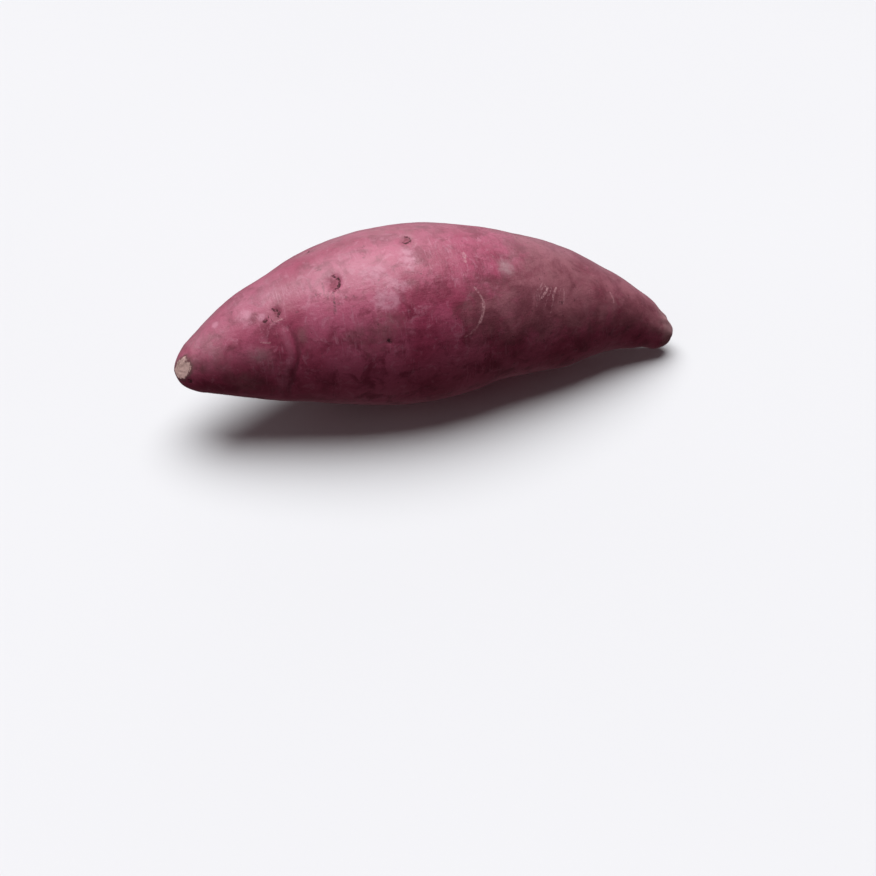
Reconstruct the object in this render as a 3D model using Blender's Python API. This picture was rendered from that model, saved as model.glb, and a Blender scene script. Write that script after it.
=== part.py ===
"""A whole sweet potato, lying on its side on a small flat spot.

The root is one solid piece. It is lofted along a bowed spine that runs from the
cut stem end at -X to the slim root end at +X. The origin is at the bottom centre
of its bounding box, so the surface that it rests on is z = 0.
"""

import math

import bmesh
import bpy
from mathutils import Matrix, Vector

# Overall sizes, in metres.
LENGTH = 0.170                  # from end to end, straight across the bow
BELLY_HEIGHT = 0.059            # across the thickest part, upright
BELLY_WIDTH = 0.0605            # across the thickest part, front to back
BELLY_FROM_STEM = 0.078         # distance of the thickest part from the stem end

# The two ends.
STEM_END_DIAMETER = 0.010       # just behind the rounding of the stem end
STEM_SCAR_DIAMETER = 0.0055     # flat face where the stem was cut off
STEM_ROUNDING = 0.0070          # length of the rounding behind the scar
ROOT_END_DIAMETER = 0.008       # just behind the rounding of the root end
ROOT_ROUNDING = 0.0025          # length of the rounding at the root end

# How the body swells from each end to the belly: 1 is a straight cone, more is fuller.
STEM_FULLNESS = 1.9
ROOT_FULLNESS = 1.6

# The bow of the spine: it rises and leans back between its ends.
BOW_RISE = 0.0135
BOW_LEAN = 0.007
BOW_CREST_FROM_STEM = 0.103
BOW_ROUNDNESS = 2.45            # 2 is a parabola, more is flatter at the crest

# A shallow waist that goes round the body near the stem end.
WAIST_FROM_STEM = 0.036
WAIST_DEPTH = 0.0004
WAIST_HALF_WIDTH = 0.0035

# The flat spot underneath, as the height of the sliver that is missing there.
REST_FLAT_DEPTH = 0.0012

# The root lies at the tilt, end to end, at which its weight hangs lowest.
WIDEST_TILT_DEGREES = 20
TILT_SEARCH_STEPS = 40

# Fineness of the mesh.
RING_COUNT = 76
RING_POINTS = 40
SHARP_EDGE_DEGREES = 40
MERGE_DISTANCE = 0.00002

SKIN_COLOUR = (0.42, 0.11, 0.18, 1.0)
SKIN_ROUGHNESS = 0.5


def clear_scene():
    """Remove whatever objects the file holds."""
    for old in list(bpy.data.objects):
        bpy.data.objects.remove(old, do_unlink=True)


def swelling(distance_left, span, fullness):
    """0 at an end of the body and 1 at the belly, which is where distance_left is 0."""
    return 1 - max(distance_left / span, 0.0) ** fullness


def rounded(radius, core_radius, distance, rounding):
    """Radius near an end, drawn in along an ellipse to core_radius at the end itself."""
    missing = max(rounding - distance, 0.0) / rounding
    return math.sqrt(core_radius ** 2 + (radius ** 2 - core_radius ** 2) * (1 - missing ** 2))


def waist_depth(distance):
    """Depth of the waist at a distance from the stem end, on a bell curve."""
    return WAIST_DEPTH * math.exp(-((distance - WAIST_FROM_STEM) / WAIST_HALF_WIDTH) ** 2)


def body_radius(distance):
    """Half the body's height at a distance from the stem end."""
    belly = BELLY_HEIGHT / 2
    if distance < BELLY_FROM_STEM:
        end = STEM_END_DIAMETER / 2
        share = swelling(BELLY_FROM_STEM - distance, BELLY_FROM_STEM, STEM_FULLNESS)
    else:
        end = ROOT_END_DIAMETER / 2
        share = swelling(distance - BELLY_FROM_STEM, LENGTH - BELLY_FROM_STEM, ROOT_FULLNESS)
    radius = end + (belly - end) * share - waist_depth(distance)
    radius = rounded(radius, STEM_SCAR_DIAMETER / 2, distance, STEM_ROUNDING)
    return rounded(radius, 0.0, LENGTH - distance, ROOT_ROUNDING)


def spine_point(distance):
    """Centre of the body at a distance from the stem end."""
    if distance < BOW_CREST_FROM_STEM:
        from_crest = (BOW_CREST_FROM_STEM - distance) / BOW_CREST_FROM_STEM
    else:
        from_crest = (distance - BOW_CREST_FROM_STEM) / (LENGTH - BOW_CREST_FROM_STEM)
    bow = 1 - from_crest ** BOW_ROUNDNESS
    return Vector((distance, BOW_LEAN * bow, BOW_RISE * bow))


def spine_direction(distance):
    """Unit vector along the spine, towards the root end."""
    step = LENGTH / RING_COUNT / 10
    before = spine_point(max(distance - step, 0.0))
    after = spine_point(min(distance + step, LENGTH))
    return (after - before).normalized()


def ring_distances():
    """Places of the rings along the spine, closer together towards both ends."""
    return [LENGTH * (1 - math.cos(math.pi * i / RING_COUNT)) / 2 for i in range(RING_COUNT)]


def add_ring(bm, distance):
    """Add one oval ring of vertices, square to the spine."""
    along = spine_direction(distance)
    side = Vector((0, 0, 1)).cross(along).normalized()
    up = along.cross(side)
    height = body_radius(distance)
    width = height * BELLY_WIDTH / BELLY_HEIGHT
    centre = spine_point(distance)
    ring = []
    for k in range(RING_POINTS):
        turn = 2 * math.pi * k / RING_POINTS
        offset = side * (width * math.cos(turn)) + up * (height * math.sin(turn))
        ring.append(bm.verts.new(centre + offset))
    return ring


def loft_body(bm):
    """Join the rings into one closed skin: a flat scar at -X and a pole at +X."""
    rings = [add_ring(bm, distance) for distance in ring_distances()]
    for near, far in zip(rings, rings[1:]):
        for k in range(RING_POINTS):
            after = (k + 1) % RING_POINTS
            bm.faces.new((near[k], near[after], far[after], far[k]))
    bm.faces.new(rings[0])
    tip = bm.verts.new(spine_point(LENGTH))
    for k in range(RING_POINTS):
        bm.faces.new((rings[-1][k], rings[-1][(k + 1) % RING_POINTS], tip))


def centre_of_mass():
    """Middle of the body's weight, from slices at even steps along the spine."""
    distances = [LENGTH * (i + 0.5) / RING_COUNT for i in range(RING_COUNT)]
    weights = [body_radius(distance) ** 2 for distance in distances]
    total = Vector((0, 0, 0))
    for distance, weight in zip(distances, weights):
        total += spine_point(distance) * weight
    return total / sum(weights)


def tilt_turn(tilt):
    """Turn about the Y axis by an angle, with a positive one lowering the root end."""
    return Matrix.Rotation(tilt, 3, "Y")


def height_of_mass(points, middle, tilt):
    """How high the middle of the weight is over the lowest point, at a tilt."""
    upward = tilt_turn(tilt).row[2]
    return upward.dot(middle) - min(upward.dot(point) for point in points)


def lay_at_rest(bm):
    """Tilt the root until its weight is as low as it goes, by halving in on that tilt."""
    points = [vertex.co.copy() for vertex in bm.verts]
    middle = centre_of_mass()
    low = -math.radians(WIDEST_TILT_DEGREES)
    high = math.radians(WIDEST_TILT_DEGREES)
    for _ in range(TILT_SEARCH_STEPS):
        third = (high - low) / 3
        if height_of_mass(points, middle, low + third) < height_of_mass(points, middle, high - third):
            high -= third
        else:
            low += third
    bmesh.ops.rotate(bm, verts=bm.verts[:], cent=middle, matrix=tilt_turn((low + high) / 2))


def cut_rest_flat(bm):
    """Slice the underside off level and close the cut with one flat face."""
    lowest = min(vertex.co.z for vertex in bm.verts)
    cut = bmesh.ops.bisect_plane(
        bm,
        geom=bm.verts[:] + bm.edges[:] + bm.faces[:],
        plane_co=(0, 0, lowest + REST_FLAT_DEPTH),
        plane_no=(0, 0, 1),
        clear_inner=True,
    )
    rim = [item for item in cut["geom_cut"] if isinstance(item, bmesh.types.BMEdge)]
    bmesh.ops.edgeloop_fill(bm, edges=rim)


def move_to_origin(bm):
    """Put the bottom centre of the bounding box at the origin."""
    low = Vector(min(vertex.co[axis] for vertex in bm.verts) for axis in range(3))
    high = Vector(max(vertex.co[axis] for vertex in bm.verts) for axis in range(3))
    base = Vector(((low.x + high.x) / 2, (low.y + high.y) / 2, low.z))
    bmesh.ops.translate(bm, verts=bm.verts[:], vec=-base)


def skin_material():
    """Matt purple-pink skin."""
    material = bpy.data.materials.new("sweet_potato_skin")
    material.use_nodes = True
    shader = material.node_tree.nodes["Principled BSDF"]
    shader.inputs["Base Color"].default_value = SKIN_COLOUR
    shader.inputs["Roughness"].default_value = SKIN_ROUGHNESS
    shader.inputs["Metallic"].default_value = 0.0
    return material


def make_sweet_potato():
    """Build the root as one closed, smoothly shaded object."""
    bm = bmesh.new()
    loft_body(bm)
    lay_at_rest(bm)
    cut_rest_flat(bm)
    move_to_origin(bm)
    bmesh.ops.remove_doubles(bm, verts=bm.verts[:], dist=MERGE_DISTANCE)
    bmesh.ops.recalc_face_normals(bm, faces=bm.faces[:])
    mesh = bpy.data.meshes.new("sweet_potato")
    bm.to_mesh(mesh)
    bm.free()
    mesh.shade_smooth()
    mesh.set_sharp_from_angle(angle=math.radians(SHARP_EDGE_DEGREES))
    mesh.materials.append(skin_material())
    potato = bpy.data.objects.new("sweet_potato", mesh)
    bpy.context.scene.collection.objects.link(potato)
    return potato


clear_scene()
make_sweet_potato()
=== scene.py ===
"""Looks of a whole sweet potato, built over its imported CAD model.

The skin is one fine closed mesh. Its points are cast onto the CAD node and smoothed, and they
take on the relief of a real root: lobes, wrinkles, eyes, a growth crease, an oblique cut at the
stem end and a shrivelled root end. Soft colour marks are stored on its vertices, and its
material breaks them up and sharpens them.
"""

import math
from collections import namedtuple

import bpy
import numpy as np
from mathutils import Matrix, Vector, noise
from mathutils.bvhtree import BVHTree


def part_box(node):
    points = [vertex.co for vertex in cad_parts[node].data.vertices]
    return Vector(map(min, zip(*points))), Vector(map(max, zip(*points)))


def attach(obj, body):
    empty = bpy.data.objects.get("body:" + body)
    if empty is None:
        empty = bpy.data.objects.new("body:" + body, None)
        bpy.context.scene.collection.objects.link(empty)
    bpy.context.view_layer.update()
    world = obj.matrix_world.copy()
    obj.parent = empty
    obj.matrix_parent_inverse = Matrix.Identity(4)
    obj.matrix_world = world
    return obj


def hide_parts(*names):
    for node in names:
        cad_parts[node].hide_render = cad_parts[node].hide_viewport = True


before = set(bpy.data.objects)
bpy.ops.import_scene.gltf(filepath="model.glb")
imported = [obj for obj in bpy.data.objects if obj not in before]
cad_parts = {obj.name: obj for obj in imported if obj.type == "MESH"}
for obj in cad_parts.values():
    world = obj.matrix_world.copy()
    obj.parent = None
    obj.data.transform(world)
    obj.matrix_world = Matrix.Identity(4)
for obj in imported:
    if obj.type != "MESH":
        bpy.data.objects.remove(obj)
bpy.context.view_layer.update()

# All sizes are in metres and all angles in degrees.
# A place on the root is given by its distance from the stem end, measured along X, and by its
# turn about the spine: 0 is the top, 90 the front, 180 the underside and -90 the back.
CAD_NODE = "sweet_potato"
CAD_LOW, CAD_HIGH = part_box(CAD_NODE)
LENGTH = CAD_HIGH.x - CAD_LOW.x

# The camera, which looks at a point on the floor in front of the root.
CAMERA_LENS_MM = 70
CAMERA_AZIMUTH = -17.0
CAMERA_ELEVATION = 38.0
CAMERA_DISTANCE = 0.550
CAMERA_AIM_RIGHT = 0.003
CAMERA_AIM_AHEAD = -0.0316

# The skin's grid of points. Rings square to the spine cover the body, and a fan of leaning rings
# covers each end.
BODY_RINGS = 304
STEM_FAN_RINGS = 20
ROOT_FAN_RINGS = 16
RING_POINTS = 288
STEM_FAN_REACH = 0.007       # how far inside the stem end its fan starts
ROOT_FAN_REACH = 0.0045      # the same at the root end

# The spine, a polynomial through the middles of short stretches of the CAD body.
SPINE_SAMPLES = 48
SPINE_WINDOW = 0.003         # half the length of a stretch
SPINE_DEGREE = 5

# Smoothing of the cast shape.
SMOOTHING_RINGS = 4          # how far it reaches along the root, in rings
SMOOTHING_HARMONICS = 5      # how many waves round a ring it keeps
REST_SOFTNESS = 0.0003       # how far the edge of the flat spot is rounded


def make_camera():
    """Camera at the photograph's viewing angle."""
    azimuth = math.radians(CAMERA_AZIMUTH)
    elevation = math.radians(CAMERA_ELEVATION)
    right = Vector((math.cos(azimuth), math.sin(azimuth), 0))
    ahead = Vector((-math.sin(azimuth), math.cos(azimuth), 0))
    back = Vector((0, 0, 1)) * math.sin(elevation) - ahead * math.cos(elevation)
    data = bpy.data.cameras.new("camera")
    data.lens = CAMERA_LENS_MM
    camera = bpy.data.objects.new("camera", data)
    aim = right * CAMERA_AIM_RIGHT + ahead * CAMERA_AIM_AHEAD
    camera.location = aim + back * CAMERA_DISTANCE
    camera.rotation_euler = (-back).to_track_quat("-Z", "Y").to_euler()
    bpy.context.scene.collection.objects.link(camera)
    bpy.context.scene.camera = camera


# ---------------------------------------------------------------- the skin's plain shape

def cad_points():
    """The CAD node's vertices as an array."""
    return np.array([vertex.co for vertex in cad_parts[CAD_NODE].data.vertices])


def cad_tree():
    """The CAD node's faces, ready for rays."""
    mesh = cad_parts[CAD_NODE].data
    corners = [vertex.co for vertex in mesh.vertices]
    return BVHTree.FromPolygons(corners, [face.vertices for face in mesh.polygons])


def fit_spine():
    """Smooth line through the middle of the body, as y and z polynomials of x."""
    points = cad_points()
    stations = np.linspace(CAD_LOW.x + SPINE_WINDOW, CAD_HIGH.x - SPINE_WINDOW, SPINE_SAMPLES)
    middles = []
    for station in stations:
        near = points[np.abs(points[:, 0] - station) < SPINE_WINDOW]
        middles.append((near.min(axis=0) + near.max(axis=0)) / 2)
    middles = np.array(middles)
    fit = np.polynomial.Polynomial.fit
    return fit(stations, middles[:, 1], SPINE_DEGREE), fit(stations, middles[:, 2], SPINE_DEGREE)


def spine_frame(spine, x):
    """Point on the spine at x, with unit vectors along it, to its back and up from it."""
    line_y, line_z = spine
    centre = np.array([x, line_y(x), line_z(x)])
    along = np.array([1.0, line_y.deriv()(x), line_z.deriv()(x)])
    along /= np.linalg.norm(along)
    back = np.cross([0.0, 0.0, 1.0], along)
    back /= np.linalg.norm(back)
    return centre, along, back, np.cross(along, back)


def ring_plan():
    """Where each ring's rays start along X, and how far they lean towards an end, in radians."""
    stem_start = CAD_LOW.x + STEM_FAN_REACH
    root_start = CAD_HIGH.x - ROOT_FAN_REACH
    quarter = math.pi / 2
    plan = [(stem_start, -quarter * (1 - i / STEM_FAN_RINGS)) for i in range(1, STEM_FAN_RINGS)]
    plan += [(x, 0.0) for x in np.linspace(stem_start, root_start, BODY_RINGS)]
    plan += [(root_start, quarter * i / ROOT_FAN_RINGS) for i in range(1, ROOT_FAN_RINGS)]
    return plan


def ring_turns():
    """Angle of each ring's points from the top, starting and ending underneath."""
    return math.pi + 2 * math.pi * np.arange(RING_POINTS) / RING_POINTS


def cast_rings(spine):
    """Start, direction and length of the ray from the spine to each point of the skin."""
    tree = cad_tree()
    starts = []
    directions = []
    lengths = []
    for x, lean in ring_plan():
        centre, along, back, up = spine_frame(spine, x)
        ring = []
        for turn in ring_turns():
            radial = up * math.cos(turn) - back * math.sin(turn)
            ring.append(radial * math.cos(lean) + along * math.sin(lean))
        starts.append(centre)
        directions.append(ring)
        hits = [tree.ray_cast(Vector(centre), Vector(ray))[3] for ray in ring]
        lengths.append(hits)
    return np.array(starts), np.array(directions), np.array(lengths)


def smooth_rings(lengths):
    """Take the facets out of the cast shape, round the rings and then along the root."""
    waves = np.fft.rfft(lengths, axis=1)
    waves[:, SMOOTHING_HARMONICS + 1:] = 0
    smooth = np.fft.irfft(waves, RING_POINTS, axis=1)
    reach = 3 * SMOOTHING_RINGS
    over_stem = np.roll(smooth[:reach][::-1], RING_POINTS // 2, axis=1)
    over_root = np.roll(smooth[-reach:][::-1], RING_POINTS // 2, axis=1)
    padded = np.concatenate([over_stem, smooth, over_root])
    kernel = np.exp(-0.5 * (np.arange(-reach, reach + 1) / SMOOTHING_RINGS) ** 2)
    kernel /= kernel.sum()
    return sum(w * padded[i:i + len(lengths)] for i, w in enumerate(kernel))


def grid_faces(ring_count):
    """Quads between the rings and triangles round both poles, as numbers of their points.

    The stem end's pole is the first point and the root end's is the last.
    """
    ring = np.arange(ring_count - 1)[:, None] * RING_POINTS + 1
    here = np.arange(RING_POINTS)[None, :]
    after = (here + 1) % RING_POINTS
    corners = (ring + here, ring + after, ring + RING_POINTS + after, ring + RING_POINTS + here)
    quads = np.stack(corners, axis=-1).reshape(-1, 4)
    last = 1 + (ring_count - 1) * RING_POINTS
    pole = last + RING_POINTS
    stem_cap = [(0, 1 + (k + 1) % RING_POINTS, 1 + k) for k in range(RING_POINTS)]
    root_cap = [(pole, last + k, last + (k + 1) % RING_POINTS) for k in range(RING_POINTS)]
    return quads, np.array(stem_cap + root_cap)


# Points, faces, and each point's distance from the stem end and turn about the spine.
Skin = namedtuple("Skin", "points quads triangles along turn")


def plain_skin():
    """Smooth closed skin over the CAD body, with a pole at each end."""
    starts, directions, lengths = cast_rings(fit_spine())
    rings = starts[:, None] + directions * smooth_rings(lengths)[:, :, None]
    stem_pole = rings[0].mean(axis=0)
    root_pole = rings[-1].mean(axis=0)
    points = np.concatenate([[stem_pole], rings.reshape(-1, 3), [root_pole]])
    turns = np.tile((np.degrees(ring_turns()) + 180) % 360 - 180, len(rings))
    quads, triangles = grid_faces(len(rings))
    along = points[:, 0] - CAD_LOW.x
    return Skin(points, quads, triangles, along, np.concatenate([[0.0], turns, [0.0]]))


def point_normals(points, skin):
    """Outward unit normal at each point."""
    normals = np.zeros_like(points)
    for faces in (skin.quads, skin.triangles):
        first = points[faces[:, 2]] - points[faces[:, 0]]
        second = points[faces[:, -1]] - points[faces[:, 1]]
        square = np.cross(first, second)
        for corner in faces.T:
            np.add.at(normals, corner, square)
    return normals / np.linalg.norm(normals, axis=1)[:, None]


# ---------------------------------------------------------------- relief and marks

# Broad corrections of the outline: place, reach along and round the root, and height.
Swell = namedtuple("Swell", "along turn reach_along reach_round height")
SWELLS = (
    Swell(0.129, 125, 0.009, 0.016, 0.0011),
    Swell(0.106, 125, 0.007, 0.014, -0.0007),
    Swell(0.149, 125, 0.006, 0.012, -0.0008),
    Swell(0.031, -39, 0.010, 0.012, -0.0005),
    Swell(0.078, -35, 0.012, 0.014, -0.0003),
    Swell(0.121, -39, 0.009, 0.012, -0.0008),
    Swell(0.151, -39, 0.007, 0.010, 0.0005),
    Swell(0.163, -15, 0.005, 0.006, 0.0006),
    Swell(0.1698, -10, 0.0020, 0.0050, -0.0006),
)

# Relief noise: size of its lumps, how much they are drawn out along and round, and height.
Lumps = namedtuple("Lumps", "size stretch height")
RELIEF = (
    Lumps(0.040, (1.6, 1.0, 1.0), 0.00050),
    Lumps(0.013, (1.3, 1.0, 1.0), 0.00025),
    Lumps(0.0055, (1.0, 1.2, 1.2), 0.00010),
    Lumps(0.0022, (1.0, 5.0, 5.0), 0.00005),
    Lumps(0.0026, (9.0, 1.0, 1.0), 0.00005),
)

# Eyes: scars of small roots, each a dark bow or ring in a shallow pit. The bow has a radius and
# a half span, and bulges towards facing: 0 is the root end, 90 is downwards on the front.
Eye = namedtuple("Eye", "along turn radius half_span facing depth")
EYES = (
    Eye(0.0498, 25, 0.0029, 72, 5, 0.0008),
    Eye(0.0772, 2, 0.0019, 100, 30, 0.0005),
    Eye(0.0318, 34, 0.0014, 80, 330, 0.0004),
    Eye(0.0287, 36, 0.0003, 180, 0, 0.0002),
    Eye(0.0642, 71, 0.0003, 180, 0, 0.0003),
    Eye(0.0487, -23, 0.0008, 90, 180, 0.0004),
    Eye(0.0038, 98, 0.0005, 180, 0, 0.0003),
    Eye(0.0985, 139, 0.0015, 80, 200, 0.0006),
    Eye(0.1130, -48, 0.0026, 65, 10, 0.0008),
    Eye(0.0690, -74, 0.0021, 70, 185, 0.0007),
    Eye(0.0350, -96, 0.0026, 60, 0, 0.0008),
    Eye(0.0910, -118, 0.0014, 160, 0, 0.0005),
    Eye(0.1420, -80, 0.0014, 75, 20, 0.0005),
    Eye(0.1040, 176, 0.0020, 65, 0, 0.0006),
    Eye(0.0220, -150, 0.0012, 85, 170, 0.0004),
)
EYE_LINE = 0.00045           # half the width of an eye's dark line
EYE_BOW_SHARE = 0.5          # how deep the bow is, as a share of the eye's depth
EYE_PIT_SHARE = 0.6          # how deep the pit is
EYE_LIP_SHARE = 0.10         # how high the lip round them is
EYE_LIP_GAP = 4 * EYE_LINE   # how far outside the bow the lip is

# Strokes: thin scratches, each from one place to another, bent to one side. A stroke is dry and
# light where its tone is over 0, and dark where it is under 0.
Stroke = namedtuple("Stroke", "start end bend width tone")
STROKES = (
    Stroke((0.0945, 45), (0.0966, 55), 0.0002, 0.00030, 0.6),
    Stroke((0.0966, 55), (0.0940, 67), 0.0004, 0.00040, 1.0),
    Stroke((0.0940, 67), (0.0885, 75), 0.0005, 0.00030, 0.4),
    Stroke((0.1206, 46), (0.1176, 55), 0.0002, 0.00030, 1.0),
    Stroke((0.1238, 46), (0.1214, 55), -0.0002, 0.00026, 0.8),
    Stroke((0.1190, 43), (0.1163, 49), 0.0002, 0.00022, 0.5),
    Stroke((0.0945, 19), (0.0938, 26), 0.0, 0.00045, 0.6),
    Stroke((0.0300, 41), (0.0335, 40), 0.0001, 0.00020, 0.7),
    Stroke((0.0262, 55), (0.0290, 57), 0.0, 0.00020, 0.5),
    Stroke((0.1442, 42), (0.1450, 55), 0.0002, 0.00022, 0.45),
    Stroke((0.0503, 32), (0.0495, 48), 0.0002, 0.00028, -0.8),
    Stroke((0.0478, 22), (0.0474, 33), 0.0001, 0.00024, -0.4),
    Stroke((0.1262, 47), (0.1250, 60), 0.0001, 0.00020, 0.35),
    Stroke((0.1215, 58), (0.1200, 68), 0.0001, 0.00020, 0.35),
    Stroke((0.1160, 52), (0.1150, 62), 0.0, 0.00018, 0.3),
    Stroke((0.0600, -60), (0.0660, -48), 0.0008, 0.00028, 0.8),
    Stroke((0.1180, -95), (0.1130, -84), -0.0006, 0.00028, 0.8),
    Stroke((0.0800, -140), (0.0870, -132), 0.0004, 0.00026, 0.7),
    Stroke((0.1330, -55), (0.1310, -46), 0.0, 0.00026, 0.8),
    Stroke((0.0450, 160), (0.0530, 168), 0.0006, 0.00028, 0.7),
)

# Soft marks: place, reach along and round the root, and strength.
Mark = namedtuple("Mark", "along turn reach_along reach_round strength")
BELL_END = 5                 # a soft mark or a swell ends at this many times its reach

# Pale pink spots, where the skin is rubbed; on the upper front they are also painted highlights.
PALE_SPOTS_AND_PAINTED_HIGHLIGHTS = (
    Mark(0.0234, 20, 0.0023, 0.0019, 1.3),
    Mark(0.0141, 5, 0.0012, 0.0016, 1.4),
    Mark(0.0281, 31, 0.0015, 0.0013, 1.2),
    Mark(0.0715, 66, 0.0022, 0.0020, 0.5),
    Mark(0.0660, 46, 0.0047, 0.0032, 1.3),
    Mark(0.0762, 20, 0.0030, 0.0056, 1.0),
    Mark(0.0640, 26, 0.0060, 0.0036, 0.8),
    Mark(0.0700, 37, 0.0040, 0.0026, 0.8),
    Mark(0.0430, 22, 0.0050, 0.0040, 0.5),
    Mark(0.0330, 12, 0.0060, 0.0036, 0.45),
    Mark(0.0900, 18, 0.0040, 0.0030, 0.5),
    Mark(0.1010, 32, 0.0050, 0.0030, 0.35),
    Mark(0.1240, -70, 0.0018, 0.0015, 0.9),
    Mark(0.0520, -110, 0.0022, 0.0014, 0.8),
    Mark(0.0830, -40, 0.0030, 0.0020, 0.5),
)
# Deep magenta patches.
DEEP_PATCHES = (
    Mark(0.0810, 44, 0.0060, 0.0050, 1.25),
    Mark(0.0590, 52, 0.0030, 0.0030, 0.7),
    Mark(0.1470, 62, 0.0018, 0.0090, 0.7),
    Mark(0.0750, 72, 0.0090, 0.0060, 0.7),
    Mark(0.0990, 12, 0.0040, 0.0030, 0.4),
    Mark(0.1150, 34, 0.0080, 0.0060, 0.4),
    Mark(0.0220, 50, 0.0050, 0.0040, 0.4),
    Mark(0.0312, 57, 0.0034, 0.0030, 0.7),
    Mark(0.0900, -85, 0.0080, 0.0060, 0.7),
    Mark(0.0480, -40, 0.0060, 0.0050, 0.5),
    Mark(0.1280, -110, 0.0060, 0.0050, 0.6),
)
# Grey patches, like dry dust on the skin.
DUSTY_PATCHES = (
    Mark(0.1076, 30, 0.0033, 0.0030, 0.95),
    Mark(0.0150, 45, 0.0070, 0.0080, 0.3),
    Mark(0.0080, 18, 0.0060, 0.0070, 0.3),
    Mark(0.0255, 67, 0.0050, 0.0036, 0.5),
    Mark(0.0980, -66, 0.0030, 0.0034, 1.1),
)
# Grey-brown patches, where there is more scurf.
SCURF_PATCHES = (
    Mark(0.0385, 57, 0.0022, 0.0030, 0.35),
    Mark(0.0215, 100, 0.0110, 0.0075, 0.50),
    Mark(0.0549, 62, 0.0050, 0.0040, 0.32),
    Mark(0.0612, 75, 0.0040, 0.0035, 0.25),
    Mark(0.0645, 61, 0.0055, 0.0042, 0.35),
    Mark(0.0930, 55, 0.0070, 0.0080, 0.30),
    Mark(0.1230, 50, 0.0140, 0.0140, 0.20),
    Mark(0.0650, -12, 0.0300, 0.0070, 0.20),
    Mark(0.0750, -110, 0.0100, 0.0080, 0.30),
    Mark(0.1180, -130, 0.0090, 0.0070, 0.30),
    Mark(0.0400, -60, 0.0080, 0.0070, 0.25),
)

# Scurf: how much all of the skin carries, and how much more the far half and both ends do.
SCURF_EVERYWHERE = 0.25
SCURF_FAR_HALF = 0.42
SCURF_STEM_END = 0.28
SCURF_ROOT_END = 0.15
# Painted bounce light: the lower half loses scurf, so it shows the deeper, saturated magenta of light
# bounced up under it.
SCURF_LOSS_FOR_PAINTED_BOUNCE = 0.60       # the share of it that the lower half of the root lacks
FAR_HALF_START = 0.59         # where the far half's scurf starts, as a share of the length
FAR_HALF_FULL = 0.71          # and where it is all there
FAR_HALF_SLANT = 0.020        # how much sooner it starts low on the front

# The growth crease on the front, as places that it passes through.
CREASE_PLACES = ((0.0318, 40), (0.0352, 50), (0.0366, 62), (0.0355, 82), (0.0333, 118))
CREASE_DEPTH = 0.00024
CREASE_STEP = 0.00022         # how much lower the skin is beyond the crease
CREASE_STEP_LENGTH = 0.010    # how far beyond it the skin is level again
CREASE_SOFTNESS = 0.0013
CREASE_WANDER = 0.0006        # how far it strays from its smooth line
CREASE_FADE_IN = 22           # the turn over which its upper end fades
CREASE_FADE_OUT = 15          # the turn before and after its last place where its lower end fades

# The cut at the stem end: which way it faces, how deep it goes in and how rough it is.
CUT_FACING = (-0.82, -0.42, 0.39)
CUT_DEPTH = 0.0006
CUT_ROUGHNESS = 0.00010
STEM_END_REACH = 0.010        # no part of the cut lies further along than this

# The shrivelled root end.
SHRIVEL_LENGTH = 0.014
SHRIVEL_FOLDS = 9
SHRIVEL_DEPTH = 0.00010
ROOT_SCAR_RADIUS = 0.0016     # where the thin root broke off, at the very end
ROOT_SCAR_HEIGHT = 0.0002
ROOT_GREY_LENGTH = 0.012      # how far from the root end it starts to turn dry and grey

# The dusty film with painted sheen: a lighter band on the side that faced up, which also stands for
# the sheen of the light along the top. The middle of its band round the root, and how far it reaches
# either way.
DUST_AND_SHEEN_TURN = -30
DUST_AND_SHEEN_STEM_SHIFT = 22         # how much further to the front it lies near the stem end
DUST_AND_SHEEN_REACH = 62

NOISE_STEP = 31.7             # how far apart in the noise two seeds read it, in lumps


def smoothstep(values, low, high):
    """0 up to low, 1 from high on, and smooth between them."""
    share = np.clip((values - low) / (high - low), 0, 1)
    return share * share * (3 - 2 * share)


def field(points, size, stretch=(1, 1, 1), seed=0):
    """Smooth noise at each point, with lumps of about that size."""
    places = points / (size * np.array(stretch)) + NOISE_STEP * (seed + 1)
    return np.array([noise.noise(Vector(place)) for place in places])


def nearest_point(skin, along, turn):
    """Number of the point nearest to a place on the root."""
    radius = (CAD_HIGH.z - CAD_LOW.z) / 2
    turned = (skin.turn - turn + 180) % 360 - 180
    return np.argmin((skin.along - along) ** 2 + (radius * np.radians(turned)) ** 2)


def local(skin, points, normals, along, turn, facing=0.0):
    """Where every point lies from a place: towards facing, square to it, and how far."""
    nearest = nearest_point(skin, along, turn)
    normal = normals[nearest]
    lengthwise = np.array([1.0, 0.0, 0.0])
    lengthwise -= normal * (lengthwise @ normal)
    lengthwise /= np.linalg.norm(lengthwise)
    sideways = np.cross(lengthwise, normal)
    angle = math.radians(facing)
    ahead = lengthwise * math.cos(angle) + sideways * math.sin(angle)
    across = sideways * math.cos(angle) - lengthwise * math.sin(angle)
    offset = points - points[nearest]
    return offset @ ahead, offset @ across, np.linalg.norm(offset, axis=1)


def bell(skin, points, normals, mark):
    """Bell-shaped hump around a mark or a swell, 1 at its middle."""
    u, v, far = local(skin, points, normals, mark.along, mark.turn)
    flat = np.exp(-(u / mark.reach_along) ** 2 - (v / mark.reach_round) ** 2)
    return flat * (far < BELL_END * max(mark.reach_along, mark.reach_round))


def mark_amount(skin, points, normals, group):
    """How strong a group of soft marks is at each point, from 0 to 1."""
    amount = sum(mark.strength * bell(skin, points, normals, mark) for mark in group)
    return np.clip(amount, 0, 1)


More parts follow.
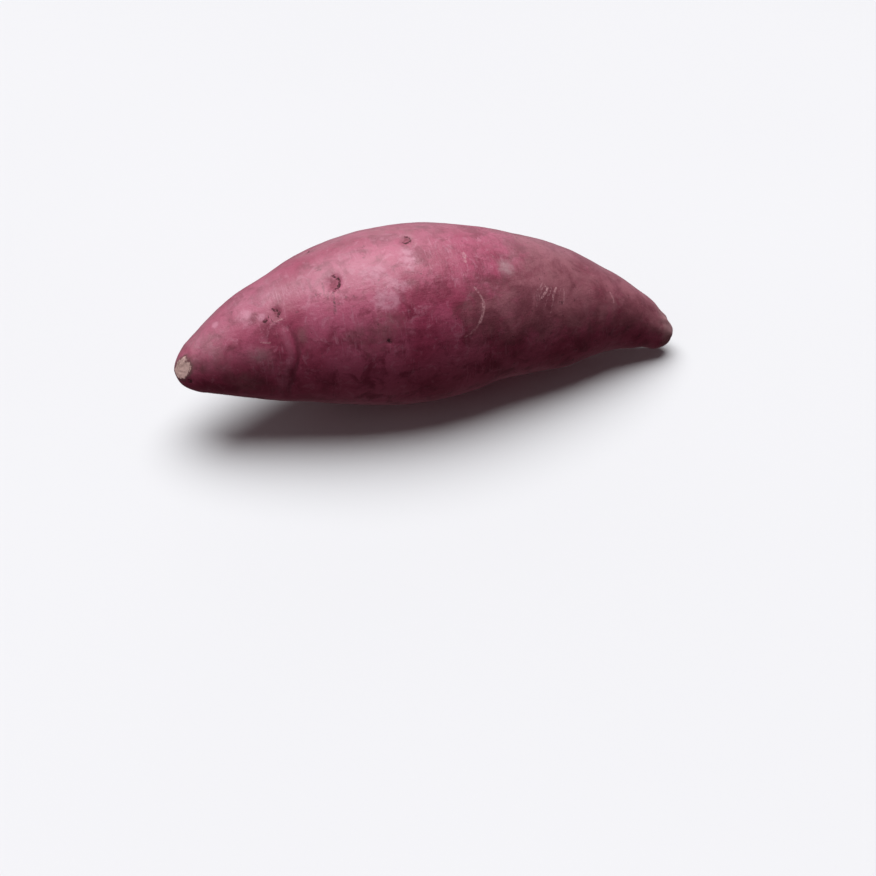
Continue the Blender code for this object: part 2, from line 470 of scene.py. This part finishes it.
def eye_shapes(skin, points, normals):
    """Depth of the eyes, and where each point lies in the frame of the eye nearest to it."""
    depth = np.zeros(len(points))
    nearest = np.full(len(points), np.inf)
    places = np.zeros((len(points), 3))
    spans = np.zeros(len(points))
    for eye in EYES:
        u, v, far = local(skin, points, normals, eye.along, eye.turn, eye.facing)
        from_middle = np.hypot(u, v)
        bow = np.exp(-((from_middle - eye.radius) / (1.5 * EYE_LINE)) ** 2)
        bow *= smoothstep(u / (from_middle + 1e-6), math.cos(math.radians(eye.half_span)) - 0.5, 1)
        pit = np.exp(-(from_middle / (eye.radius + EYE_LINE)) ** 2)
        lip = np.exp(-((from_middle - eye.radius - EYE_LIP_GAP) / (2 * EYE_LINE)) ** 2)
        near = far < 4 * (eye.radius + EYE_LIP_GAP)
        shape = EYE_BOW_SHARE * bow + EYE_PIT_SHARE * pit - EYE_LIP_SHARE * lip
        depth += near * eye.depth * shape
        closer = far < nearest
        nearest = np.where(closer, far, nearest)
        places[closer] = np.stack([u, v, np.full(len(u), eye.radius)], axis=1)[closer]
        spans[closer] = math.cos(math.radians(eye.half_span))
    return depth, places, spans


def stroke_shapes(skin, points, normals):
    """Where each point lies in the frame of the stroke nearest to it, and its width and tone."""
    nearest = np.full(len(points), np.inf)
    places = np.ones((len(points), 3))
    widths = np.zeros(len(points))
    tones = np.zeros(len(points))
    for stroke in STROKES:
        start = points[nearest_point(skin, *stroke.start)]
        end = points[nearest_point(skin, *stroke.end)]
        half = np.linalg.norm(end - start) / 2
        ahead = (end - start) / (2 * half)
        normal = normals[nearest_point(skin, *stroke.start)]
        across = np.cross(ahead, normal)
        across /= np.linalg.norm(across)
        offset = points - (start + end) / 2
        u = offset @ ahead
        v = offset @ across + stroke.bend * (1 - (u / half) ** 2)
        far = np.linalg.norm(offset - np.clip(u, -half, half)[:, None] * ahead, axis=1)
        closer = far < nearest
        nearest = np.where(closer, far, nearest)
        places[closer] = np.stack([u, v, np.full(len(u), half)], axis=1)[closer]
        widths[closer] = stroke.width
        tones[closer] = stroke.tone
    return places, widths, tones


def crease_shape(skin, points):
    """How far each point lies beyond the growth crease, and how strong the crease is there."""
    alongs, turns = zip(*CREASE_PLACES)
    line = np.polynomial.Polynomial.fit(turns, alongs, 3)
    # The fitted line is only right near its places, so it is held still outside them.
    inside = np.clip(skin.turn, turns[0] - 10, turns[-1] + CREASE_FADE_OUT)
    beyond = skin.along - line(inside) + CREASE_WANDER * field(points, 0.005, seed=11)
    strength = smoothstep(skin.turn, turns[0], turns[0] + CREASE_FADE_IN)
    strength *= 1 - smoothstep(skin.turn, turns[-1] - CREASE_FADE_OUT, turns[-1] + CREASE_FADE_OUT)
    return beyond, strength


def crease_depth(beyond, strength):
    """How much lower the skin is in the crease and just beyond it."""
    groove = np.exp(-(beyond / CREASE_SOFTNESS) ** 2)
    step = smoothstep(beyond, -0.002, 0.001) * (1 - smoothstep(beyond, 0.001, CREASE_STEP_LENGTH))
    return strength * (CREASE_DEPTH * groove + CREASE_STEP * step)


def cut_stem(skin, points):
    """Slice the stem end off at a slant. Returns the points, and how far over the cut each was."""
    facing = np.array(CUT_FACING) / np.linalg.norm(CUT_FACING)
    reach = points @ facing
    plane = reach[skin.along < STEM_END_REACH].max() - CUT_DEPTH
    fibres = field(points, 0.0009, seed=21) + field(points, 0.0022, seed=22)
    over = reach - plane - CUT_ROUGHNESS * fibres
    over = np.where(skin.along < STEM_END_REACH, over, -STEM_END_REACH)
    flat = points - np.maximum(over, 0)[:, None] * facing
    return flat, over


def shrivel(skin, points):
    """Height of the folds at the root end."""
    from_end = (LENGTH - skin.along) / SHRIVEL_LENGTH
    fade = smoothstep(from_end, 0.01, 0.12) * (1 - smoothstep(from_end, 0.12, 1.0))
    wander = 3.0 * field(points, 0.006, seed=31)
    return SHRIVEL_DEPTH * fade * np.cos(np.radians(skin.turn) * SHRIVEL_FOLDS + wander)


def root_scar(points):
    """How much each point belongs to the scar at the root end, from 0 to 1."""
    away = np.linalg.norm(points - points[-1], axis=1)
    ragged = away + 0.0005 * field(points, 0.0011, seed=41)
    return 1 - smoothstep(ragged, 0.5 * ROOT_SCAR_RADIUS, 1.3 * ROOT_SCAR_RADIUS)


def dust_and_sheen_amount(skin, points):
    """How much dust and painted sheen lie on the side that faced up."""
    near_stem = 1 - smoothstep(skin.along, 0.2 * LENGTH, 0.5 * LENGTH)
    middle = DUST_AND_SHEEN_TURN + DUST_AND_SHEEN_STEM_SHIFT * near_stem
    up = smoothstep(-np.abs((skin.turn - middle + 180) % 360 - 180), -DUST_AND_SHEEN_REACH, 0)
    off_stem_end = smoothstep(skin.along, 0.0, 0.06 * LENGTH)
    return up * off_stem_end * (0.75 + 0.5 * field(points, 0.012, (1.5, 1, 1), seed=51))


def scurf_amount(skin, points, normals):
    """How much grey-brown scurf the skin carries, with less on the lower half as painted bounce
    light.
    """
    low_front = smoothstep(skin.turn, 10, 80) * (1 - smoothstep(skin.turn, 110, 170))
    slanted = skin.along + FAR_HALF_SLANT * low_front
    far_half = smoothstep(slanted, FAR_HALF_START * LENGTH, FAR_HALF_FULL * LENGTH)
    stem_end = 1 - smoothstep(skin.along, 0.02 * LENGTH, 0.12 * LENGTH)
    root_end = smoothstep(skin.along, 0.80 * LENGTH, 0.92 * LENGTH)
    # Painted bounce light: less scurf on the lower half.
    painted_bounce_share = smoothstep(np.abs(skin.turn), 65, 105)
    amount = SCURF_EVERYWHERE + SCURF_FAR_HALF * far_half
    amount += SCURF_STEM_END * stem_end + SCURF_ROOT_END * root_end
    amount *= 1 - SCURF_LOSS_FOR_PAINTED_BOUNCE * painted_bounce_share
    for patch in SCURF_PATCHES:
        amount += patch.strength * bell(skin, points, normals, patch)
    return np.clip(amount, 0, 1)


def relief_height(skin, points, normals):
    """Height of the broad swells and of the lumps and wrinkles."""
    height = np.zeros(len(points))
    for swell in SWELLS:
        height += swell.height * bell(skin, points, normals, swell)
    for seed, lumps in enumerate(RELIEF):
        height += lumps.height * field(points, lumps.size, lumps.stretch, seed)
    return height


def rest_on_floor(points):
    """Raise the points that are under the floor, with a soft edge round the flat spot."""
    floor = CAD_LOW.z
    over_floor = points[:, 2] - floor
    points[:, 2] = floor + (over_floor + np.hypot(over_floor, REST_SOFTNESS)) / 2


def shape_skin(skin):
    """Give the plain skin its relief. Returns its points, and its marks by name."""
    points = skin.points.copy()
    normals = point_normals(points, skin)
    eye_depth, eye_places, eye_spans = eye_shapes(skin, points, normals)
    stroke_places, stroke_widths, stroke_tones = stroke_shapes(skin, points, normals)
    beyond, crease = crease_shape(skin, points)
    scar = root_scar(points)
    height = relief_height(skin, points, normals) - eye_depth - crease_depth(beyond, crease)
    height += shrivel(skin, points) + ROOT_SCAR_HEIGHT * scar
    points += normals * height[:, None]
    points, cut = cut_stem(skin, points)
    rest_on_floor(points)
    marks = {
        "scurf": scurf_amount(skin, points, normals),
        "far_half": smoothstep(skin.along, 0.45 * LENGTH, 0.80 * LENGTH),
        # Rubbed skin, and on the upper front painted highlights.
        "pale": mark_amount(skin, points, normals, PALE_SPOTS_AND_PAINTED_HIGHLIGHTS),
        "deep": mark_amount(skin, points, normals, DEEP_PATCHES),
        "dusty": mark_amount(skin, points, normals, DUSTY_PATCHES),
        "crease": crease,
        "beyond_crease": beyond,
        "cut": cut,
        "root_end": smoothstep(skin.along, LENGTH - ROOT_GREY_LENGTH, LENGTH),
        "root_scar": scar,
        # Dust with painted sheen: the lighter band on the side that faced up.
        "dust_and_sheen": dust_and_sheen_amount(skin, points),
        "eye": eye_places,
        "eye_span": eye_spans,
        "stroke": stroke_places,
        "stroke_width": stroke_widths,
        "stroke_tone": stroke_tones,
    }
    return points, marks


def add_bake_map(mesh, skin):
    """UV map that unrolls the skin: a ring from side to side, the root from bottom to top.

    Its seam runs along the underside. A pole has a place of its own for each face that meets it.
    """
    last = (len(skin.points) - 2) // RING_POINTS + 1
    corners = np.zeros(len(mesh.loops), dtype=int)
    mesh.loops.foreach_get("vertex_index", corners)
    rows = (corners + RING_POINTS - 1) // RING_POINTS
    across = (corners - 1) % RING_POINTS / RING_POINTS
    at_pole = (rows == 0) | (rows == last)
    for face in mesh.polygons:
        own = slice(face.loop_start, face.loop_start + face.loop_total)
        on_ring = ~at_pole[own]
        ring = across[own][on_ring]
        if ring.max() - ring.min() > 0.5:
            across[own] = np.where(across[own] < 0.5, across[own] + 1, across[own])
            ring = across[own][on_ring]
        across[own][at_pole[own]] = ring.mean()
    places = np.stack([across, rows / last], axis=1)
    mesh.uv_layers.new(name="OFBake").data.foreach_set("uv", places.ravel())


def store_marks(mesh, marks):
    """Store the marks on the mesh's vertices, for the material to read."""
    for name, values in marks.items():
        if values.ndim == 1:
            mesh.attributes.new(name, "FLOAT", "POINT").data.foreach_set("value", values)
        else:
            data = mesh.attributes.new(name, "FLOAT_VECTOR", "POINT").data
            data.foreach_set("vector", values.ravel())


def make_skin():
    """The finished skin as an object."""
    skin = plain_skin()
    points, marks = shape_skin(skin)
    mesh = bpy.data.meshes.new("sweet_potato_skin")
    mesh.from_pydata(points.tolist(), [], skin.quads.tolist() + skin.triangles.tolist())
    mesh.shade_smooth()
    store_marks(mesh, marks)
    add_bake_map(mesh, skin)
    mesh.materials.append(skin_material())
    piece = bpy.data.objects.new("sweet_potato_skin", mesh)
    bpy.context.scene.collection.objects.link(piece)
    return piece


# ---------------------------------------------------------------- the skin's material

# Colours, as linear red, green and blue.
PINK = (0.468, 0.097, 0.183)
ROSE = (0.342, 0.045, 0.104)
MAGENTA = (0.210, 0.019, 0.054)
SCURF_DARK = (0.165, 0.045, 0.060)
SCURF_PALE = (0.300, 0.110, 0.135)
# Pale pink of flecks, scratches and rubbed spots; it also colours the painted highlights in the spots
# and beside the crease.
PALE = (0.560, 0.230, 0.322)
# Dust with painted sheen: a lighter mauve for the side that faced up.
DUST_AND_PAINTED_SHEEN = (0.358, 0.170, 0.216)
DUST = (0.420, 0.235, 0.268)
SPECK_DARK = (0.090, 0.022, 0.032)
EYE_DARK = (0.062, 0.018, 0.024)
EYE_FLOOR = (0.180, 0.058, 0.072)
DRY_PINK = (0.620, 0.320, 0.360)
DRY_TAN = (0.570, 0.310, 0.320)
CUT_PALE = (0.710, 0.490, 0.445)
CUT_EDGE = (0.160, 0.075, 0.075)
ROOT_SCAR_DARK = (0.200, 0.095, 0.100)
ROOT_END_GREY = (0.370, 0.190, 0.205)
# Painted shade for the dark line in the growth crease.
CREASE_PAINTED_SHADE = (0.085, 0.020, 0.030)


def add_node(tree, kind, inputs=None, **settings):
    """Add a node, set it, and feed its inputs from other nodes' outputs or from values."""
    made = tree.nodes.new(kind)
    for name, value in settings.items():
        setattr(made, name, value)
    for name, value in (inputs or {}).items():
        if isinstance(value, bpy.types.NodeSocket):
            tree.links.new(value, made.inputs[name])
        else:
            made.inputs[name].default_value = value
    return made


def add_math(tree, operation, first, second=0.0, clamp=False):
    """Number worked out from two others."""
    inputs = {0: first, 1: second}
    return add_node(tree, "ShaderNodeMath", inputs, operation=operation, use_clamp=clamp).outputs[0]


def add_step(tree, value, low, high, bottom=0.0, top=1.0):
    """Smooth step of a value, from bottom at low to top at high."""
    inputs = {"Value": value, "From Min": low, "From Max": high, "To Min": bottom, "To Max": top}
    return add_node(tree, "ShaderNodeMapRange", inputs, interpolation_type="SMOOTHSTEP").outputs[0]


def add_mix(tree, share, first, second):
    """Colour mixed from two others."""
    made = add_node(tree, "ShaderNodeMix", data_type="RGBA", clamp_factor=True)
    for socket, value in ((made.inputs[0], share), (made.inputs[6], first), (made.inputs[7], second)):
        if isinstance(value, bpy.types.NodeSocket):
            tree.links.new(value, socket)
        elif isinstance(value, tuple):
            socket.default_value = (*value, 1.0)
        else:
            socket.default_value = value
    return made.outputs[2]


def add_noise(tree, place, size, detail=2.0, roughness=0.5, distortion=0.0, stretch=(1, 1, 1)):
    """Noise from 0 to 1 with lumps of about that size, drawn out by stretch."""
    scale = tuple(1 / (size * s) for s in stretch)
    scaled = add_node(tree, "ShaderNodeVectorMath", {0: place, 1: scale}, operation="MULTIPLY")
    inputs = {
        "Vector": scaled.outputs[0],
        "Scale": 1.0,
        "Detail": detail,
        "Roughness": roughness,
        "Distortion": distortion,
    }
    return add_node(tree, "ShaderNodeTexNoise", inputs).outputs[0]


def add_mark(tree, name):
    """Number stored on the vertices."""
    return add_node(tree, "ShaderNodeAttribute", attribute_name=name).outputs["Fac"]


def add_mark_parts(tree, name):
    """The three numbers of a vector stored on the vertices."""
    vector = add_node(tree, "ShaderNodeAttribute", attribute_name=name).outputs["Vector"]
    return add_node(tree, "ShaderNodeSeparateXYZ", {0: vector}).outputs


def add_band(tree, value, middle, inner, outer, top):
    """Top where a value is within inner of middle, and from there smoothly down to 0 at outer."""
    off = add_math(tree, "ABSOLUTE", add_math(tree, "SUBTRACT", value, middle))
    return add_step(tree, off, inner, outer, top, 0.0)


def add_patches(tree, colour, name, ragged, low, high, share, patch_colour):
    """Mix in a group of patches: none where mark times ragged is low, share of it where high."""
    amount = add_math(tree, "MULTIPLY", add_mark(tree, name), ragged)
    return add_mix(tree, add_step(tree, amount, low, high, 0.0, share), colour, patch_colour)


def add_wobble(tree, place, size, reach):
    """Offset of up to about reach either way, which roughens an outline."""
    wobble = add_noise(tree, place, size, 3, 0.6)
    return add_math(tree, "MULTIPLY", add_math(tree, "SUBTRACT", wobble, 0.5), 2 * reach)


def eye_masks(tree, place):
    """Dark line of the eyes and the floor of their pits, each from 0 to 1."""
    u, v, radius = add_mark_parts(tree, "eye")
    u = add_math(tree, "ADD", u, add_wobble(tree, place, 0.0013, 0.0012))
    shifted = add_node(tree, "ShaderNodeVectorMath", {0: place, 1: (0.1, 0.2, 0.3)}).outputs[0]
    v = add_math(tree, "ADD", v, add_wobble(tree, shifted, 0.0013, 0.0012))
    squares = add_math(tree, "ADD", add_math(tree, "POWER", u, 2.0), add_math(tree, "POWER", v, 2.0))
    away = add_math(tree, "SQRT", squares)
    line = add_band(tree, away, radius, 0.4 * EYE_LINE, 1.5 * EYE_LINE, 1.0)
    towards = add_math(tree, "DIVIDE", u, add_math(tree, "ADD", away, 1e-6))
    past_end = add_math(tree, "SUBTRACT", towards, add_mark(tree, "eye_span"))
    line = add_math(tree, "MULTIPLY", line, add_step(tree, past_end, -0.25, 0.15))
    cracks = add_noise(tree, place, 0.0007, 2, 0.6)
    line = add_math(tree, "MULTIPLY", line, add_step(tree, cracks, 0.36, 0.56, 0.25, 1.0))
    inside = add_math(tree, "SUBTRACT", away, radius)
    floor = add_step(tree, inside, -0.0016, 0.0005, 0.70, 0.0)
    floor = add_math(tree, "MULTIPLY", floor, add_step(tree, towards, -0.8, 0.5, 0.25, 1.0))
    return line, add_math(tree, "MULTIPLY", floor, add_step(tree, cracks, 0.35, 0.65, 0.65, 1.0))


def stroke_masks(tree, place):
    """The light and the dark strokes, each from 0 to 1."""
    u, v, half = add_mark_parts(tree, "stroke")
    width = add_mark(tree, "stroke_width")
    tone = add_mark(tree, "stroke_tone")
    v = add_math(tree, "ADD", v, add_wobble(tree, place, 0.0016, 0.0004))
    past_end = add_math(tree, "SUBTRACT", add_math(tree, "ABSOLUTE", u), half)
    past_end = add_math(tree, "MAXIMUM", past_end, 0.0)
    off = add_math(tree, "ADD", add_math(tree, "ABSOLUTE", v), past_end)
    off = add_math(tree, "DIVIDE", off, add_math(tree, "MAXIMUM", width, 1e-5))
    stroke = add_step(tree, off, 0.3, 2.0, 0.9, 0.0)
    broken = add_noise(tree, place, 0.0009, 2, 0.6)
    stroke = add_math(tree, "MULTIPLY", stroke, add_step(tree, broken, 0.38, 0.56, 0.2, 1.0))
    light = add_math(tree, "MULTIPLY", stroke, tone, clamp=True)
    dark = add_math(tree, "MULTIPLY", stroke, add_math(tree, "MULTIPLY", tone, -1.0), clamp=True)
    return light, dark


def mottled_colour(tree, place):
    """Mottled pink to magenta, with small pale and deep flecks."""
    broad = add_noise(tree, place, 0.018, 3, 0.55, 0.3)
    middle = add_noise(tree, place, 0.0062, 4, 0.62, 0.5)
    crisp = add_noise(tree, place, 0.0034, 5, 0.66, 0.8)
    speckle = add_noise(tree, place, 0.0010, 3, 0.7)
    colour = add_mix(tree, add_step(tree, broad, 0.36, 0.66), ROSE, PINK)
    colour = add_mix(tree, add_step(tree, middle, 0.46, 0.68, 0.0, 0.85), colour, MAGENTA)
    colour = add_mix(tree, add_step(tree, crisp, 0.54, 0.66, 0.0, 0.35), colour, PALE)
    colour = add_mix(tree, add_step(tree, crisp, 0.45, 0.34, 0.0, 0.40), colour, MAGENTA)
    colour = add_mix(tree, add_step(tree, speckle, 0.40, 0.28, 0.0, 0.22), colour, PALE)
    return colour


def worn_colour(tree, place, colour):
    """The same skin with fine scratches, dark specks, scurf, and dust with painted sheen."""
    patches = add_noise(tree, place, 0.012, 2, 0.5)
    scratches = add_noise(tree, place, 0.00055, 2, 0.6, 0.4, (1.0, 9.0, 9.0))
    scratched = add_step(tree, scratches, 0.54, 0.70, 0.0, 0.34)
    scratched = add_math(tree, "MULTIPLY", scratched, add_step(tree, patches, 0.45, 0.6))
    colour = add_mix(tree, scratched, colour, PALE)
    scurf_noise = add_noise(tree, place, 0.0050, 5, 0.65, 0.6)
    scurf = add_math(tree, "ADD", add_mark(tree, "scurf"), scurf_noise)
    clouds = add_noise(tree, place, 0.0085, 5, 0.65, 0.5)
    scurf_colour = add_mix(tree, add_step(tree, clouds, 0.38, 0.64), SCURF_DARK, SCURF_PALE)
    colour = add_mix(tree, add_step(tree, scurf, 0.76, 1.25, 0.0, 0.80), colour, scurf_colour)
    # Painted sheen: dust lightens the side that faced up, in uneven patches.
    uneven = add_step(tree, patches, 0.3, 0.7, 0.42, 0.70)
    dust_and_sheen = add_math(tree, "MULTIPLY", add_mark(tree, "dust_and_sheen"), uneven)
    colour = add_mix(tree, dust_and_sheen, colour, DUST_AND_PAINTED_SHEEN)
    specks = add_noise(tree, place, 0.0016, 3, 0.6, 0.3)
    more = add_math(tree, "MULTIPLY", add_mark(tree, "far_half"), 0.03)
    specks = add_math(tree, "ADD", specks, more)
    return add_mix(tree, add_step(tree, specks, 0.66, 0.74, 0.0, 0.6), colour, SPECK_DARK)


def patched_colour(tree, place, colour):
    """The same skin with its deep, dusty and pale patches, which have ragged edges; the pale ones on
    the upper front are painted highlights too.
    """
    edge = add_noise(tree, place, 0.0020, 3, 0.6)
    ragged = add_step(tree, edge, 0.60, 0.35, 0.4, 1.2)
    colour = add_patches(tree, colour, "deep", ragged, 0.05, 0.95, 0.75, MAGENTA)
    ragged = add_step(tree, edge, 0.3, 0.6, 0.7, 1.1)
    colour = add_patches(tree, colour, "dusty", ragged, 0.10, 0.90, 0.80, DUST)
    ragged = add_step(tree, edge, 0.3, 0.65, 0.4, 1.1)
    # Pale spots: rubbed skin, and on the upper front painted highlights.
    return add_patches(tree, colour, "pale", ragged, 0.10, 0.95, 0.80, PALE)


def crease_and_painted_light_colour(tree, place, colour):
    """The same skin with the growth crease: a pale band of painted highlight before it and a dark
    line of painted shade in it.
    """
    crease = add_mark(tree, "crease")
    beyond = add_mark(tree, "beyond_crease")
    beyond = add_math(tree, "ADD", beyond, add_wobble(tree, place, 0.003, 0.0007))
    # Painted highlight: a pale band on the near side of the crease.
    band = add_math(tree, "MULTIPLY", crease, add_band(tree, beyond, -0.0022, 0.0002, 0.0019, 0.22))
    colour = add_mix(tree, band, colour, PALE)
    # Painted shade: a dark line in the crease's groove.
    line = add_math(tree, "MULTIPLY", crease, add_band(tree, beyond, 0.0002, 0.0002, 0.0011, 0.42))
    return add_mix(tree, line, colour, CREASE_PAINTED_SHADE)


def scarred_colour(tree, place, colour, eye_line, eye_floor):
    """The same skin with its strokes and eyes."""
    light, dark = stroke_masks(tree, place)
    colour = add_mix(tree, light, colour, DRY_PINK)
    colour = add_mix(tree, dark, colour, EYE_DARK)
    colour = add_mix(tree, eye_floor, colour, EYE_FLOOR)
    return add_mix(tree, eye_line, colour, EYE_DARK)


def end_colour(tree, place, colour):
    """The same skin with its dry root end and its cut stem end."""
    dry = add_noise(tree, place, 0.0018, 4, 0.6)
    dry = add_math(tree, "ADD", add_mark(tree, "root_end"), dry)
    colour = add_mix(tree, add_step(tree, dry, 0.75, 1.35, 0.0, 0.85), colour, ROOT_END_GREY)
    threads = add_noise(tree, place, 0.0007, 3, 0.6)
    scar = add_mix(tree, add_step(tree, threads, 0.35, 0.6), ROOT_SCAR_DARK, DRY_TAN)
    colour = add_mix(tree, add_mark(tree, "root_scar"), colour, scar)
    cut = add_mark(tree, "cut")
    rim = add_math(tree, "ADD", cut, add_wobble(tree, place, 0.0026, 0.0007))
    fibres = add_noise(tree, place, 0.0007, 3, 0.6)
    pith = add_noise(tree, place, 0.0030, 3, 0.5)
    flesh = add_mix(tree, add_step(tree, fibres, 0.45, 0.75, 0.0, 0.35), CUT_PALE, CUT_EDGE)
    flesh = add_mix(tree, add_step(tree, pith, 0.56, 0.75, 0.0, 0.45), flesh, CUT_EDGE)
    colour = add_mix(tree, add_step(tree, rim, -0.0006, -0.00005, 0.0, 0.8), colour, CUT_EDGE)
    return add_mix(tree, add_step(tree, rim, -0.00005, 0.00012), colour, flesh)


def skin_relief(tree, place):
    """Normal of the fine relief that the mesh is too coarse for."""
    grain = add_noise(tree, place, 0.0009, 4, 0.65)
    ripples = add_noise(tree, place, 0.0007, 2, 0.5, 0.3, (1.0, 6.0, 6.0))
    furrows = add_noise(tree, place, 0.0014, 2, 0.5, 0.3, (8.0, 1.0, 1.0))
    height = add_math(tree, "ADD", grain, add_math(tree, "MULTIPLY", ripples, 0.5))
    height = add_math(tree, "ADD", height, add_math(tree, "MULTIPLY", furrows, 0.6))
    bump = add_node(tree, "ShaderNodeBump", {"Height": height, "Distance": 0.00010, "Strength": 1.0})
    return bump.outputs[0]


def skin_roughness(tree, place, eye_line, eye_floor):
    """Satin skin, drier in the scurf, on the cut and in the eyes."""
    worn = add_noise(tree, place, 0.006, 4, 0.6)
    roughness = add_step(tree, worn, 0.3, 0.7, 0.40, 0.52)
    scurf = add_step(tree, add_mark(tree, "scurf"), 0.3, 1.0, 0.0, 0.20)
    cut = add_step(tree, add_mark(tree, "cut"), -0.0003, 0.0, 0.0, 0.35)
    eyes = add_math(tree, "MAXIMUM", eye_line, eye_floor)
    dry = add_math(tree, "ADD", scurf, add_math(tree, "ADD", cut, eyes))
    return add_math(tree, "ADD", roughness, dry, clamp=True)


def skin_material():
    """Dry, satin, mottled skin."""
    material = bpy.data.materials.new("sweet_potato_skin")
    material.use_nodes = True
    tree = material.node_tree
    shader = tree.nodes["Principled BSDF"]
    place = add_node(tree, "ShaderNodeTexCoord").outputs["Object"]
    eye_line, eye_floor = eye_masks(tree, place)
    colour = mottled_colour(tree, place)
    colour = worn_colour(tree, place, colour)
    colour = patched_colour(tree, place, colour)
    colour = crease_and_painted_light_colour(tree, place, colour)
    colour = scarred_colour(tree, place, colour, eye_line, eye_floor)
    colour = end_colour(tree, place, colour)
    roughness = skin_roughness(tree, place, eye_line, eye_floor)
    tree.links.new(colour, shader.inputs["Base Color"])
    tree.links.new(roughness, shader.inputs["Roughness"])
    tree.links.new(skin_relief(tree, place), shader.inputs["Normal"])
    shader.inputs["Specular IOR Level"].default_value = 0.5
    shader.inputs["Sheen Weight"].default_value = 0.30
    shader.inputs["Sheen Roughness"].default_value = 0.35
    shader.inputs["Sheen Tint"].default_value = (0.95, 0.80, 0.86, 1.0)
    return material


# ---------------------------------------------------------------- the studio

FLOOR_RADIUS = 40.0
FLOOR_SIDES = 96
FLOOR_COLOUR = (0.681, 0.697, 0.717)
FLOOR_CLOUD_SIZE = 0.35
FLOOR_CLOUD_SHADE = 0.98     # how bright its faint clouds are beside the rest
SURROUND_SEEN = (0.905, 0.900, 0.930)    # what the camera sees of the surround
SURROUND_LIGHT = (0.076, 0.042, 0.048)   # what it throws on the root and the floor

# Wide soft lights: where each comes from, how wide it looks in degrees, and its strength.
SoftLight = namedtuple("SoftLight", "name direction width strength")
SOFT_LIGHTS = (
    SoftLight("overhead", (0.0, 0.27, 0.96), 62, 4.05),
    SoftLight("front_fill", (-0.90, -0.38, 0.25), 70, 0.36),
    SoftLight("back_rim", (0.25, 0.93, 0.22), 40, 0.18),
)


def floor_material():
    """Matt pale paint with the faintest of clouds."""
    material = bpy.data.materials.new("floor_paint")
    material.use_nodes = True
    tree = material.node_tree
    shader = tree.nodes["Principled BSDF"]
    place = add_node(tree, "ShaderNodeTexCoord").outputs["Object"]
    cloud = add_step(tree, add_noise(tree, place, FLOOR_CLOUD_SIZE, 2, 0.5), 0.2, 0.8)
    shaded = tuple(FLOOR_CLOUD_SHADE * part for part in FLOOR_COLOUR)
    colour = add_mix(tree, cloud, FLOOR_COLOUR, shaded)
    tree.links.new(colour, shader.inputs["Base Color"])
    shader.inputs["Roughness"].default_value = 0.9
    shader.inputs["Specular IOR Level"].default_value = 0.1
    return material


def make_floor():
    """Plain pale floor, a wide disc. It throws no light up at the root."""
    corners = []
    for k in range(FLOOR_SIDES):
        turn = 2 * math.pi * k / FLOOR_SIDES
        corners.append((FLOOR_RADIUS * math.cos(turn), FLOOR_RADIUS * math.sin(turn), CAD_LOW.z))
    mesh = bpy.data.meshes.new("floor")
    mesh.from_pydata(corners, [], [list(range(FLOOR_SIDES))])
    mesh.materials.append(floor_material())
    floor = bpy.data.objects.new("floor", mesh)
    floor.visible_diffuse = False
    floor.visible_glossy = False
    bpy.context.scene.collection.objects.link(floor)


def make_lights():
    """Soft light from above, and a dim surround that looks as pale as the floor."""
    for soft in SOFT_LIGHTS:
        data = bpy.data.lights.new(soft.name, "SUN")
        data.angle = math.radians(soft.width)
        data.energy = soft.strength
        light = bpy.data.objects.new(soft.name, data)
        light.rotation_euler = Vector(soft.direction).to_track_quat("Z", "Y").to_euler()
        bpy.context.scene.collection.objects.link(light)
    world = bpy.data.worlds.new("surround")
    world.use_nodes = True
    tree = world.node_tree
    seen = add_node(tree, "ShaderNodeLightPath").outputs["Is Camera Ray"]
    colour = add_mix(tree, seen, SURROUND_LIGHT, SURROUND_SEEN)
    tree.links.new(colour, tree.nodes["Background"].inputs["Color"])
    bpy.context.scene.world = world
    bpy.context.scene.view_settings.view_transform = "Standard"


make_camera()
piece = make_skin()
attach(piece, "root")
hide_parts("sweet_potato")
make_floor()
make_lights()
